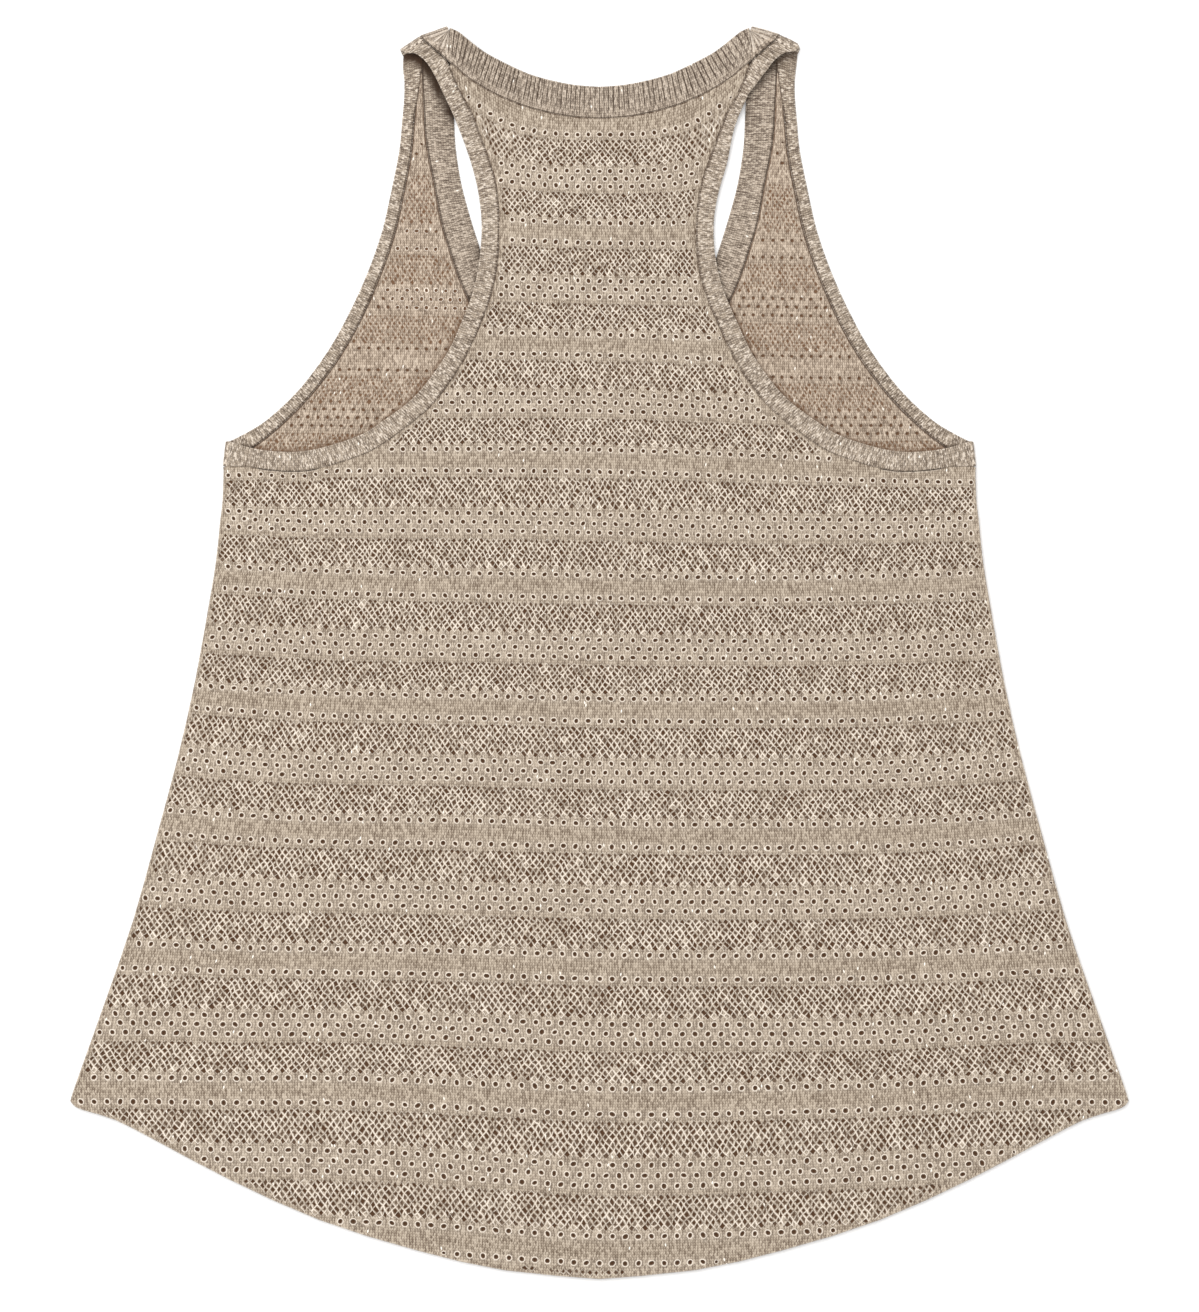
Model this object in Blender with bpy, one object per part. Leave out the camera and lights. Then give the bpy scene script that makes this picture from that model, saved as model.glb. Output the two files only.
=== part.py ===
"""Knit racerback tank top, laid flat on its front with the back on top.

X runs across the body, +Y toward the neck and +Z up from the surface it lies on. The origin is the
middle of the garment's length and width, on that surface. The tables below are in millimetres, and
"x" in them is the distance from the middle line, so each table serves both sides.
"""
import math

import bpy
import bmesh
from mathutils import Vector
from mathutils.geometry import delaunay_2d_cdt

MM = 0.001

# Thicknesses and gaps
PANEL_THICKNESS = 1.8      # fine knit of the front and back
BINDING_THICKNESS = 1.9    # doubled strip round each armhole
BAND_THICKNESS = 1.5       # neckband between its ribs
RIB_HEIGHT = 0.4
RIB_PITCH = 3.5
SEAM_GAP = 0.3             # between two pieces that are sewn edge to edge
LAYER_GAP = 0.3            # between the front's highest band and the back above it
EDGE_ROUNDING = 0.5        # how far a strip's free edge bulges

# Heights
BACK_LEVEL = BINDING_THICKNESS + LAYER_GAP   # underside of the back layer
SHOULDER_LIFT = 4.2                          # how far the folded strap holds the back layer up
LIFT_REACH = 55.0                            # distance from the fold at which that lift has gone

# The shoulder fold, from the armhole corner over the seam of binding and neckband to the neck corner
FOLD_LINE = ((107.7, 324.3), (97.7, 332.9), (82.5, 338.3))

# Sewn edge of the side, from the armhole binding down to the hem corner: x, y
SIDE_EDGE = (
    (203.1, 99.8), (203.6, 82.4), (204.9, 71.6), (207.1, 50.0), (210.6, 28.4), (218.4, -14.9),
    (228.2, -58.1), (239.8, -101.2), (251.9, -144.5), (266.8, -187.7), (282.2, -230.9),
    (285.1, -239.5),
)

# Hem, from the rounded side corner to the middle: x, y
HEM_EDGE = (
    (285.9, -242.2), (283.8, -244.9), (278.6, -247.3), (261.6, -252.5), (240.0, -263.5),
    (199.5, -284.9), (151.5, -306.5), (99.1, -322.9), (51.6, -333.7), (0.0, -338.5),
)

# Armhole binding on the back, from the underarm up to the shoulder fold:
# free edge x, free edge y, sewn edge x, sewn edge y
ARMHOLE_BACK = (
    (200.1, 114.2, 201.6, 100.4),
    (188.7, 110.8, 190.9, 100.2),
    (175.9, 108.8, 176.3, 98.3),
    (160.1, 108.8, 159.0, 98.0),
    (144.2, 112.4, 140.9, 102.3),
    (128.4, 118.0, 123.4, 108.8),
    (116.5, 125.6, 109.9, 117.5),
    (101.5, 136.9, 94.2, 129.9),
    (90.4, 149.9, 82.4, 143.6),
    (81.1, 164.1, 72.6, 159.0),
    (74.2, 179.6, 64.8, 175.8),
    (68.0, 196.3, 58.3, 193.6),
    (64.8, 213.7, 54.8, 212.0),
    (63.7, 230.9, 54.0, 230.9),
    (65.3, 247.1, 55.1, 248.7),
    (68.3, 260.6, 58.3, 262.7),
    (72.8, 274.4, 63.3, 277.0),
    (77.8, 287.3, 68.6, 291.1),
    (83.6, 300.0, 75.9, 304.3),
    (89.4, 312.0, 81.6, 318.2),
    (94.0, 318.9, 86.7, 323.1),
    (99.4, 322.9, 91.5, 327.4),
    (104.4, 323.0, 94.8, 330.2),
)

# Armhole binding on the front, from the shoulder fold down to the underarm: the same columns
ARMHOLE_FRONT = (
    (106.1, 322.2, 95.9, 328.8),
    (106.3, 316.2, 96.5, 318.9),
    (105.6, 308.6, 97.7, 310.2),
    (105.7, 299.4, 98.7, 300.0),
    (106.9, 285.9, 100.1, 285.4),
    (108.3, 271.4, 101.5, 270.3),
    (112.6, 249.8, 105.7, 247.9),
    (117.5, 228.2, 110.7, 225.7),
    (125.0, 206.6, 118.4, 203.6),
    (134.7, 185.0, 128.2, 181.2),
    (146.6, 163.4, 140.7, 159.0),
    (162.8, 141.8, 157.7, 136.9),
    (180.1, 125.6, 175.2, 119.9),
    (192.5, 118.0, 190.4, 108.3),
    (200.1, 114.2, 201.6, 100.4),
)

# Front neckband, from the middle of the neck up the strap to the shoulder fold: the same columns
NECK_FRONT = (
    (0.0, 153.1, 0.0, 136.4),
    (13.0, 154.7, 15.9, 138.2),
    (25.4, 159.3, 32.1, 144.2),
    (35.9, 166.9, 45.6, 153.6),
    (44.6, 176.6, 56.4, 165.2),
    (50.8, 186.6, 64.5, 177.7),
    (55.9, 196.6, 70.5, 189.5),
    (61.6, 209.5, 76.7, 203.9),
    (65.9, 222.5, 81.5, 218.4),
    (70.2, 236.5, 86.0, 233.6),
    (74.8, 254.1, 89.4, 252.5),
    (77.8, 273.5, 93.7, 274.1),
    (78.6, 289.7, 94.9, 290.2),
    (79.4, 303.8, 95.3, 303.8),
    (80.2, 320.0, 95.9, 317.2),
    (80.5, 334.0, 95.9, 328.8),
)

# The same strip past the fold, where it turns toward the shoulder seam: the same columns
NECK_TURNOVER = (
    (81.1, 335.2, 94.8, 330.2),
    (80.9, 335.7, 91.5, 327.4),
    (80.8, 336.2, 86.6, 323.3),
    (80.7, 336.9, 81.5, 318.9),
)

# Back neckband, from the shoulder seam to the middle: the same columns
NECK_BACK = (
    (80.7, 336.9, 81.5, 318.9),
    (76.4, 335.1, 79.2, 316.8),
    (72.1, 331.8, 76.1, 314.4),
    (66.7, 327.5, 71.9, 310.7),
    (60.5, 323.2, 65.9, 306.8),
    (52.1, 318.9, 57.5, 302.0),
    (45.1, 315.6, 49.4, 298.4),
    (37.5, 312.4, 40.8, 295.1),
    (26.2, 309.2, 28.4, 291.7),
    (13.2, 306.7, 14.3, 289.2),
    (0.0, 305.7, 0.0, 288.4),
)

# Where each panel ends in a point between the neckband and the binding: x, y
BACK_PANEL_TIP = (80.5, 315.6)
FRONT_PANEL_TIP = (96.4, 314.2)

# How many of the smoothed rows of the neck and of the armhole lie past that point
BACK_TIP_ROWS = (2, 10)
FRONT_TIP_ROWS = (4, 6)

# How finely the shapes are divided
STEPS_PER_ROW = 3          # along a strip
STEPS_PER_POINT = 2        # along the side and the hem
RIB_SECTIONS = 3           # one groove and the two edges of a crest
FOLD_STEPS = 8
PANEL_GRID = 26.0          # between the points inside a panel
GRID_MARGIN = 11.7         # from those points to the panel's edge
MERGE_DISTANCE = 0.0001
CREASE_ANGLE = math.radians(30)

COLOURS = {
    "front_panel": (0.48, 0.38, 0.28, 1.0),
    "back_panel": (0.46, 0.37, 0.28, 1.0),
    "neckband_front": (0.42, 0.33, 0.25, 1.0),
    "neckband_back": (0.43, 0.34, 0.26, 1.0),
    "armhole_binding_left": (0.45, 0.36, 0.27, 1.0),
    "armhole_binding_right": (0.45, 0.36, 0.27, 1.0),
}
KNIT_ROUGHNESS = 0.9

UP = Vector((0, 0, 1))
DOWN = Vector((0, 0, -1))


# ---------------------------------------------------------------- curves

def smoothRows(rows, steps):
    """Rows along a Catmull-Rom curve through the given rows of numbers."""
    result = []
    last = len(rows) - 1
    for i in range(last):
        before, start, end, after = rows[max(i - 1, 0)], rows[i], rows[i + 1], rows[min(i + 2, last)]
        for step in range(steps):
            t = step / steps
            result.append(tuple(
                0.5 * (2 * b + (c - a) * t + (2 * a - 5 * b + 4 * c - d) * t * t
                       + (3 * b - a - 3 * c + d) * t ** 3)
                for a, b, c, d in zip(before, start, end, after)))
    result.append(tuple(rows[last]))
    return result


def distanceToLine(point, a, b):
    """Distance in the plane from a point to the straight line between a and b."""
    along = (point - a).dot(b - a) / (b - a).length_squared
    return (point - a.lerp(b, max(0.0, min(1.0, along)))).length


def distanceToFold(x, y):
    """Distance in the plane from a point to the shoulder fold of its own side."""
    point = Vector((abs(x), y))
    return min(distanceToLine(point, Vector(start), Vector(end))
               for start, end in zip(FOLD_LINE, FOLD_LINE[1:]))


def backLevel(x, y):
    """Height of the back layer's underside."""
    bulge = BINDING_THICKNESS + SHOULDER_LIFT / 2
    t = max(0.0, min(1.0, (distanceToFold(x, y) - bulge) / LIFT_REACH))
    return BACK_LEVEL + SHOULDER_LIFT * (1 - t * t * (3 - 2 * t))


# ---------------------------------------------------------------- strips

class Section:
    """One cut across a strip: its two edges on the middle surface, and how the outer face points there."""

    def __init__(self, free, sewn, outFree, outSewn, ribsInside=0.0, ribsOutside=0.0):
        self.free = Vector(free)
        self.sewn = Vector(sewn)
        self.outFree = Vector(outFree)
        self.outSewn = Vector(outSewn)
        self.ribsInside = ribsInside
        self.ribsOutside = ribsOutside

    def mixed(self, other, t):
        return Section(self.free.lerp(other.free, t), self.sewn.lerp(other.sewn, t),
                       self.outFree.lerp(other.outFree, t).normalized(),
                       self.outSewn.lerp(other.outSewn, t).normalized(),
                       self.ribsInside + (other.ribsInside - self.ribsInside) * t,
                       self.ribsOutside + (other.ribsOutside - self.ribsOutside) * t)

    def mirrored(self):
        flip = Vector((-1, 1, 1))
        return Section(self.free * flip, self.sewn * flip, self.outFree * flip, self.outSewn * flip,
                       self.ribsInside, self.ribsOutside)

    def middle(self):
        return (self.free + self.sewn) / 2


def frontSections(rows, thickness):
    """Sections of a strip that lies on the surface, right side down."""
    height = thickness / 2
    return [Section((fx, fy, height), (sx, sy, height), DOWN, DOWN, ribsInside=1.0)
            for fx, fy, sx, sy in smoothRows(rows, STEPS_PER_ROW)]


def backSections(rows, thickness):
    """Sections of a strip that lies on top, right side up."""
    height = thickness / 2
    return [Section((fx, fy, backLevel(fx, fy) + height), (sx, sy, backLevel(sx, sy) + height),
                    UP, UP, ribsOutside=1.0)
            for fx, fy, sx, sy in smoothRows(rows, STEPS_PER_ROW)]


def foldSections(below, above, freeNormal, sewnNormal):
    """Sections round a half turn from a lower section to the upper one.

    The normals point from the fold toward the body, in the plane, one for each edge.
    """
    result = []
    for step in range(1, FOLD_STEPS):
        t = step / FOLD_STEPS
        angle = math.pi * (t - 0.5)
        points, outward = [], []
        for low, high, normal in ((below.free, above.free, freeNormal),
                                  (below.sewn, above.sewn, sewnNormal)):
            radius = (high.z - low.z) / 2
            out = Vector((-normal.x * math.cos(angle), -normal.y * math.cos(angle), math.sin(angle)))
            centre = low.lerp(high, t)
            centre.z = (low.z + high.z) / 2
            points.append(centre + out * radius)
            outward.append(out)
        result.append(Section(*points, *outward, ribsOutside=1.0))
    return result


def narrowed(sections):
    """The sections with their sewn edge drawn in by half the seam gap."""
    for section in sections:
        section.sewn += (section.free - section.sewn).normalized() * SEAM_GAP / 2
    return sections


def evenSections(sections, count):
    """The strip cut again into equal lengths along its middle."""
    lengths = [0.0]
    for a, b in zip(sections, sections[1:]):
        lengths.append(lengths[-1] + (b.middle() - a.middle()).length)
    result = []
    span = 0
    for i in range(count + 1):
        target = lengths[-1] * i / count
        while span < len(sections) - 2 and lengths[span + 1] < target:
            span += 1
        t = (target - lengths[span]) / (lengths[span + 1] - lengths[span])
        result.append(sections[span].mixed(sections[span + 1], min(max(t, 0.0), 1.0)))
    return result


def stripLength(sections):
    return sum((b.middle() - a.middle()).length for a, b in zip(sections, sections[1:]))


def sectionRing(section, thickness, rib):
    """The five corners of one cut: the free edge is rounded, and ribs lift the face that has them."""
    outside = thickness / 2 + rib * section.ribsOutside
    inside = thickness / 2 + rib * section.ribsInside
    shoulder = section.free - (section.free - section.sewn).normalized() * EDGE_ROUNDING
    return [section.sewn + section.outSewn * outside, shoulder + section.outFree * outside,
            section.free + section.outFree * (outside - inside) / 2,
            shoulder - section.outFree * inside, section.sewn - section.outSewn * inside]


def addStrip(name, sections, thickness, closed, ribs=None):
    """A solid strip through the sections, as a closed loop or with capped ends."""
    mesh = bmesh.new()
    heights = ribs or [0.0] * len(sections)
    rings = [[mesh.verts.new(corner * MM) for corner in sectionRing(section, thickness, rib)]
             for section, rib in zip(sections, heights)]
    pairs = list(zip(rings, rings[1:]))
    if closed:
        pairs.append((rings[-1], rings[0]))
    for ring, following in pairs:
        for i in range(len(ring)):
            j = (i + 1) % len(ring)
            mesh.faces.new((ring[i], ring[j], following[j], following[i]))
    if not closed:
        mesh.faces.new(rings[0])
        mesh.faces.new(rings[-1])
    finishObject(name, mesh)


# ---------------------------------------------------------------- panels

def sewnLine(rows):
    """The panel's edge beside a strip: the strip's sewn edge moved away by half the seam gap."""
    line = []
    for fx, fy, sx, sy in smoothRows(rows, STEPS_PER_ROW):
        away = (Vector((sx, sy)) - Vector((fx, fy))).normalized() * SEAM_GAP / 2
        line.append((sx + away.x, sy + away.y))
    return line


def panelOutline(neckRows, armholeRows, tip, tipRows):
    """The outline of a panel, counter-clockwise from the middle of the hem."""
    neckCut, armholeCut = tipRows
    neck = sewnLine(neckRows)[:-neckCut]
    armhole = sewnLine(armholeRows)[:-armholeCut]
    side = smoothRows(SIDE_EDGE, STEPS_PER_POINT)
    hem = smoothRows(HEM_EDGE, STEPS_PER_POINT)
    half = list(reversed(hem))[1:] + list(reversed(side)) + armhole + [tip] + list(reversed(neck))[:-1]
    left = [(-x, y) for x, y in reversed(half)]
    return [hem[-1]] + half + [neck[0]] + left


def addPanel(name, outline, underside):
    """A flat solid of even thickness inside the outline; underside(x, y) is the height below it."""
    count = len(outline)
    columns = math.ceil(max(x for x, y in outline) / PANEL_GRID)
    rows = math.ceil(max(abs(y) for x, y in outline) / PANEL_GRID)
    grid = [(i * PANEL_GRID, (j + (i % 2) / 2) * PANEL_GRID)
            for i in range(-columns, columns + 1) for j in range(-rows, rows + 1)]
    inner = [point for point in grid if insideBy(point, outline, GRID_MARGIN)]
    points = [Vector(point) for point in outline + inner]
    edges = [(i, (i + 1) % count) for i in range(count)]
    flat, _, triangles, *_ = delaunay_2d_cdt(points, edges, [list(range(count))], 1, MERGE_DISTANCE)
    mesh = bmesh.new()
    lower = [mesh.verts.new(Vector((p.x, p.y, underside(p.x, p.y))) * MM) for p in flat]
    upper = [mesh.verts.new(Vector((p.x, p.y, underside(p.x, p.y) + PANEL_THICKNESS)) * MM)
             for p in flat]
    for triangle in triangles:
        mesh.faces.new([upper[i] for i in triangle])
        mesh.faces.new([lower[i] for i in reversed(triangle)])
    for edge in [e for e in mesh.edges if e.is_boundary and e.verts[0] in set(upper)]:
        a, b = (upper.index(v) for v in edge.verts)
        mesh.faces.new((upper[a], upper[b], lower[b], lower[a]))
    finishObject(name, mesh)


def insideBy(point, outline, margin):
    """True where a point is inside the outline and at least the margin away from it."""
    x, y = point
    inside = False
    for (x0, y0), (x1, y1) in zip(outline, outline[1:] + outline[:1]):
        if (y0 > y) != (y1 > y) and x < x0 + (y - y0) * (x1 - x0) / (y1 - y0):
            inside = not inside
        if distanceToLine(Vector(point), Vector((x0, y0)), Vector((x1, y1))) < margin:
            return False
    return inside


# ---------------------------------------------------------------- objects

def finishObject(name, mesh):
    """Store the mesh as a named object with its own material."""
    bmesh.ops.recalc_face_normals(mesh, faces=mesh.faces)
    data = bpy.data.meshes.new(name)
    mesh.to_mesh(data)
    mesh.free()
    material = bpy.data.materials.new(name)
    material.use_nodes = True
    shader = material.node_tree.nodes["Principled BSDF"]
    shader.inputs["Base Color"].default_value = COLOURS[name]
    shader.inputs["Roughness"].default_value = KNIT_ROUGHNESS
    shader.inputs["Metallic"].default_value = 0.0
    material.diffuse_color = COLOURS[name]
    data.materials.append(material)
    data.shade_smooth()
    data.set_sharp_from_angle(angle=CREASE_ANGLE)
    bpy.context.scene.collection.objects.link(bpy.data.objects.new(name, data))


def foldNormal(index):
    """The direction from a corner of the fold line toward the body, in the plane."""
    normals = []
    for start, end in ((index - 1, index), (index, index + 1)):
        if 0 <= start and end < len(FOLD_LINE):
            along = (Vector(FOLD_LINE[end]) - Vector(FOLD_LINE[start])).normalized()
            normals.append(Vector((-abs(along.y), -abs(along.x))))
    total = sum(normals, Vector((0, 0)))
    return total.normalized()


def addBinding(name, side):
    """The strip round one armhole: front, under the arm, back and over the shoulder."""
    front = narrowed(frontSections(ARMHOLE_FRONT, BINDING_THICKNESS))
    back = narrowed(backSections(ARMHOLE_BACK, BINDING_THICKNESS))
    towardMiddle = Vector((-1, 0))
    underarm = foldSections(front[-1], back[0], towardMiddle, towardMiddle)
    shoulder = foldSections(front[0], back[-1], foldNormal(0), foldNormal(1))
    sections = front + underarm + back + list(reversed(shoulder))
    if side < 0:
        sections = [section.mirrored() for section in sections]
    addStrip(name, sections, BINDING_THICKNESS, closed=True)


def addRibbedStrip(name, half):
    """A neckband from the sections of one half, middle first, with ribs across it."""
    ribs = round(stripLength(half) / RIB_PITCH)
    half = evenSections(half, ribs * RIB_SECTIONS)
    heights = [0.0 if i % RIB_SECTIONS == 0 else RIB_HEIGHT for i in range(len(half))]
    sections = [section.mirrored() for section in reversed(half[1:])] + half
    heights = list(reversed(heights[1:])) + heights
    addStrip(name, sections, BAND_THICKNESS, closed=False, ribs=heights)


def addNeckbandFront():
    front = narrowed(frontSections(NECK_FRONT, BAND_THICKNESS))
    turned = narrowed(backSections(NECK_TURNOVER, BAND_THICKNESS))
    fold = foldSections(front[-1], turned[0], foldNormal(2), foldNormal(1))
    for edge in (turned[-1].free, turned[-1].sewn):
        edge.x += SEAM_GAP / 2
    addRibbedStrip("neckband_front", front + fold + turned)


def addNeckbandBack():
    back = narrowed(backSections(tuple(reversed(NECK_BACK)), BAND_THICKNESS))
    for edge in (back[-1].free, back[-1].sewn):
        edge.x -= SEAM_GAP / 2
    addRibbedStrip("neckband_back", back)


def build():
    for thing in list(bpy.data.objects):
        bpy.data.objects.remove(thing)
    frontArmhole = tuple(reversed(ARMHOLE_FRONT))
    backNeck = tuple(reversed(NECK_BACK))
    frontOutline = panelOutline(NECK_FRONT, frontArmhole, FRONT_PANEL_TIP, FRONT_TIP_ROWS)
    backOutline = panelOutline(backNeck, ARMHOLE_BACK, BACK_PANEL_TIP, BACK_TIP_ROWS)
    addPanel("front_panel", frontOutline, lambda x, y: 0.0)
    addPanel("back_panel", backOutline, backLevel)
    addNeckbandFront()
    addNeckbandBack()
    addBinding("armhole_binding_left", -1)
    addBinding("armhole_binding_right", 1)


build()
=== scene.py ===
# Knit racerback tank top laid flat on its front, the back on top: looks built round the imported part.
# Tables and sizes are in millimetres; x in a table is the distance from the middle line.
import math

import bpy
import numpy as np
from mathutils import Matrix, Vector
from mathutils.geometry import delaunay_2d_cdt


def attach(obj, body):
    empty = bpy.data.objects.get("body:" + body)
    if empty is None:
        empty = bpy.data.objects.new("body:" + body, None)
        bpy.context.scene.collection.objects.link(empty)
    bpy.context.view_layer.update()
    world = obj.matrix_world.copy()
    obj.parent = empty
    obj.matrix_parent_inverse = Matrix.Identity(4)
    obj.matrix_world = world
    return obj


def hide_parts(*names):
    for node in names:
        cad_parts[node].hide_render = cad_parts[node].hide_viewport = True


mm = 0.001
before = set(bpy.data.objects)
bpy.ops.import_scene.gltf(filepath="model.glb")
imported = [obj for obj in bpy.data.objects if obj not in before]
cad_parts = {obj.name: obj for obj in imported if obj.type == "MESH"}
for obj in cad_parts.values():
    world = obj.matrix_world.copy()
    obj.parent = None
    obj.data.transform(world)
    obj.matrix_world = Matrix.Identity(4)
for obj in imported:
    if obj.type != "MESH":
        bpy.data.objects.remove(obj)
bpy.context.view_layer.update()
print("frame loaded")

# How the garment lies, in the same sizes as the solids
laid = {
    "panelThickness": 1.8,
    "bindingThickness": 1.9,
    "bandThickness": 1.5,
    "seamGap": 0.3,
    "clothDrop": 0.20,      # plain cloth below the panel's top
    "backUnderside": 2.2,   # underside of the back layer
    "shoulderLift": 4.2,    # how far the folded straps hold it up
    "liftReach": 55.0,      # how far from the fold that lift reaches
}
# Slow hills in cloth that was smoothed out by hand: height; length, length of the bend in it, and that bend
hills = {"height": 0.10, "across": (19.0, 31.0, 1.4), "along": (24.0, 37.0, 1.1)}

# The shoulder fold, from the armhole corner over the seam to the neck corner
foldLine = ((107.7, 324.3), (97.7, 332.9), (82.5, 338.3))

# Strips: free edge x, free edge y, sewn edge x, sewn edge y
armholeBack = (   # from the underarm up to the shoulder fold
    (200.1, 114.2, 201.6, 100.4), (188.7, 110.8, 190.9, 100.2), (175.9, 108.8, 176.3, 98.3),
    (160.1, 108.8, 159.0, 98.0), (144.2, 112.4, 140.9, 102.3), (128.4, 118.0, 123.4, 108.8),
    (116.5, 125.6, 109.9, 117.5), (101.5, 136.9, 94.2, 129.9), (90.4, 149.9, 82.4, 143.6),
    (81.1, 164.1, 72.6, 159.0), (74.2, 179.6, 64.8, 175.8), (68.0, 196.3, 58.3, 193.6),
    (64.8, 213.7, 54.8, 212.0), (63.7, 230.9, 54.0, 230.9), (65.3, 247.1, 55.1, 248.7),
    (68.3, 260.6, 58.3, 262.7), (72.8, 274.4, 63.3, 277.0), (77.8, 287.3, 68.6, 291.1),
    (83.6, 300.0, 75.9, 304.3), (89.4, 312.0, 81.6, 318.2), (94.0, 318.9, 86.7, 323.1),
    (99.4, 322.9, 91.5, 327.4), (104.4, 323.0, 94.8, 330.2),
)
armholeFront = (   # from the shoulder fold down to the underarm
    (106.1, 322.2, 95.9, 328.8), (106.3, 316.2, 96.5, 318.9), (105.6, 308.6, 97.7, 310.2),
    (105.7, 299.4, 98.7, 300.0), (106.9, 285.9, 100.1, 285.4), (108.3, 271.4, 101.5, 270.3),
    (112.6, 249.8, 105.7, 247.9), (117.5, 228.2, 110.7, 225.7), (125.0, 206.6, 118.4, 203.6),
    (134.7, 185.0, 128.2, 181.2), (146.6, 163.4, 140.7, 159.0), (162.8, 141.8, 157.7, 136.9),
    (180.1, 125.6, 175.2, 119.9), (192.5, 118.0, 190.4, 108.3), (200.1, 114.2, 201.6, 100.4),
)
neckFront = (   # from the middle up the strap to the shoulder fold
    (0.0, 153.1, 0.0, 136.4), (13.0, 154.7, 15.9, 138.2), (25.4, 159.3, 32.1, 144.2),
    (35.9, 166.9, 45.6, 153.6), (44.6, 176.6, 56.4, 165.2), (50.8, 186.6, 64.5, 177.7),
    (55.9, 196.6, 70.5, 189.5), (61.6, 209.5, 76.7, 203.9), (65.9, 222.5, 81.5, 218.4),
    (70.2, 236.5, 86.0, 233.6), (74.8, 254.1, 89.4, 252.5), (77.8, 273.5, 93.7, 274.1),
    (78.6, 289.7, 94.9, 290.2), (79.4, 303.8, 95.3, 303.8), (80.2, 320.0, 95.9, 317.2),
    (80.5, 334.0, 95.9, 328.8),
)
neckTurnover = (   # the same strip past the fold, as far as the shoulder seam
    (81.1, 335.2, 94.8, 330.2), (80.9, 335.7, 91.5, 327.4), (80.8, 336.2, 86.6, 323.3),
    (80.7, 336.9, 81.5, 318.9),
)
neckBack = (   # from the middle to the shoulder seam
    (0.0, 305.7, 0.0, 288.4), (13.2, 306.7, 14.3, 289.2), (26.2, 309.2, 28.4, 291.7),
    (37.5, 312.4, 40.8, 295.1), (45.1, 315.6, 49.4, 298.4), (52.1, 318.9, 57.5, 302.0),
    (60.5, 323.2, 65.9, 306.8), (66.7, 327.5, 71.9, 310.7), (72.1, 331.8, 76.1, 314.4),
    (76.4, 335.1, 79.2, 316.8), (80.7, 336.9, 81.5, 318.9),
)
stepsPerRow = 3
foldSteps = 8


def distanceTo(x, y, corners):   # to the nearest of the straight lines between corners
    found = []
    for a, b in zip(corners, corners[1:]):
        length = (b[0] - a[0]) ** 2 + (b[1] - a[1]) ** 2
        along = np.clip(((x - a[0]) * (b[0] - a[0]) + (y - a[1]) * (b[1] - a[1])) / length, 0, 1)
        found.append(np.hypot(x - a[0] - along * (b[0] - a[0]), y - a[1] - along * (b[1] - a[1])))
    return np.min(found, axis=0)


def backUnderside(x, y):
    bulge = laid["bindingThickness"] + laid["shoulderLift"] / 2
    t = np.clip((distanceTo(np.abs(x), y, foldLine) - bulge) / laid["liftReach"], 0, 1)
    return laid["backUnderside"] + laid["shoulderLift"] * (1 - t * t * (3 - 2 * t))


def frontUnderside(x, y):
    return np.zeros_like(x)


def waves(x, y):
    total = 0
    for u, v, (length, bendLength, bend) in ((x, y, hills["across"]), (y, x, hills["along"])):
        total = total + np.sin(u / length + bend * np.sin(v / bendLength))
    return hills["height"] * total


def smoothBetween(a, b, c, d, t):   # Catmull-Rom curve from b to c
    return 0.5 * (2 * b + (c - a) * t + (2 * a - 5 * b + 4 * c - d) * t * t + (3 * b - a - 3 * c + d) * t ** 3)


def smoothRows(rows):
    table = np.array(rows, float)
    padded = np.vstack([table[:1], table, table[-1:]])
    result = [smoothBetween(a, b, c, d, step / stepsPerRow)
              for a, b, c, d in zip(padded, padded[1:], padded[2:], padded[3:]) for step in range(stepsPerRow)]
    return np.array(result + [table[-1]])


def hexColour(code):   # sRGB hex to linear
    parts = [int(code[i:i + 2], 16) / 255 for i in (1, 3, 5)]
    linear = [p / 12.92 if p <= 0.04045 else ((p + 0.055) / 1.055) ** 2.4 for p in parts]
    return (*linear, 1.0)


def addNode(tree, kind, output, inputs, **settings):
    node = tree.nodes.new(kind)
    for name, value in settings.items():
        setattr(node, name, value)
    for name, value in inputs.items():
        if isinstance(value, bpy.types.NodeSocket):
            tree.links.new(value, node.inputs[name])
        else:
            node.inputs[name].default_value = value
    return node.outputs[output]


# Fine gauge knit in a flecked beige yarn. Colours of light and dark loops, of the painted highlight on threads
# that stand up and of the painted shade in holes, seams and between layers; width and height of a stitch; and
# the share of the loops that show as strokes of painted highlight.
knitLooks = {
    # single jersey knitted on fine needles: matt, with small light and dark stitches in columns
    "back": dict(name="viscose and cotton jersey, right side", light="#b9aa97", dark="#5e4d3e",
                 highlight="#e8dccd", hole="#4a301a", stitch=(1.25, 1.45), bump=0.45, strokes=0.10),
    # the wrong side of the same jersey: warmer, with a paler painted highlight on the threads round its holes
    "front": dict(name="viscose and cotton jersey, wrong side", light="#beac98", dark="#645345",
                  highlight="#fdf1e2", hole="#6a4d36", stitch=(1.25, 1.45), bump=0.45, strokes=0.12),
    # a doubled strip linked on loop by loop: tighter, so single loops catch the light as strokes
    "binding": dict(name="doubled jersey binding", light="#b6a693", dark="#53453a",
                    highlight="#ddd0c1", hole="#3f2c1d", stitch=(1.15, 1.3), bump=0.6, strokes=0.75),
    # ribs knitted one by one: the columns stand up, and the yarn between them falls into shade
    "rib": dict(name="one by one rib knit", light="#bcac9a", dark="#53453a",
                highlight="#dacdbe", hole="#38281a", stitch=(1.2, 1.35), bump=0.6, strokes=0.28),
}
glint = dict(share=0.0018, colour="#fbf4e8", roughness=0.5)   # stitches that hold a metallic thread: lower roughness, and a painted glint in their colour
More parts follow.
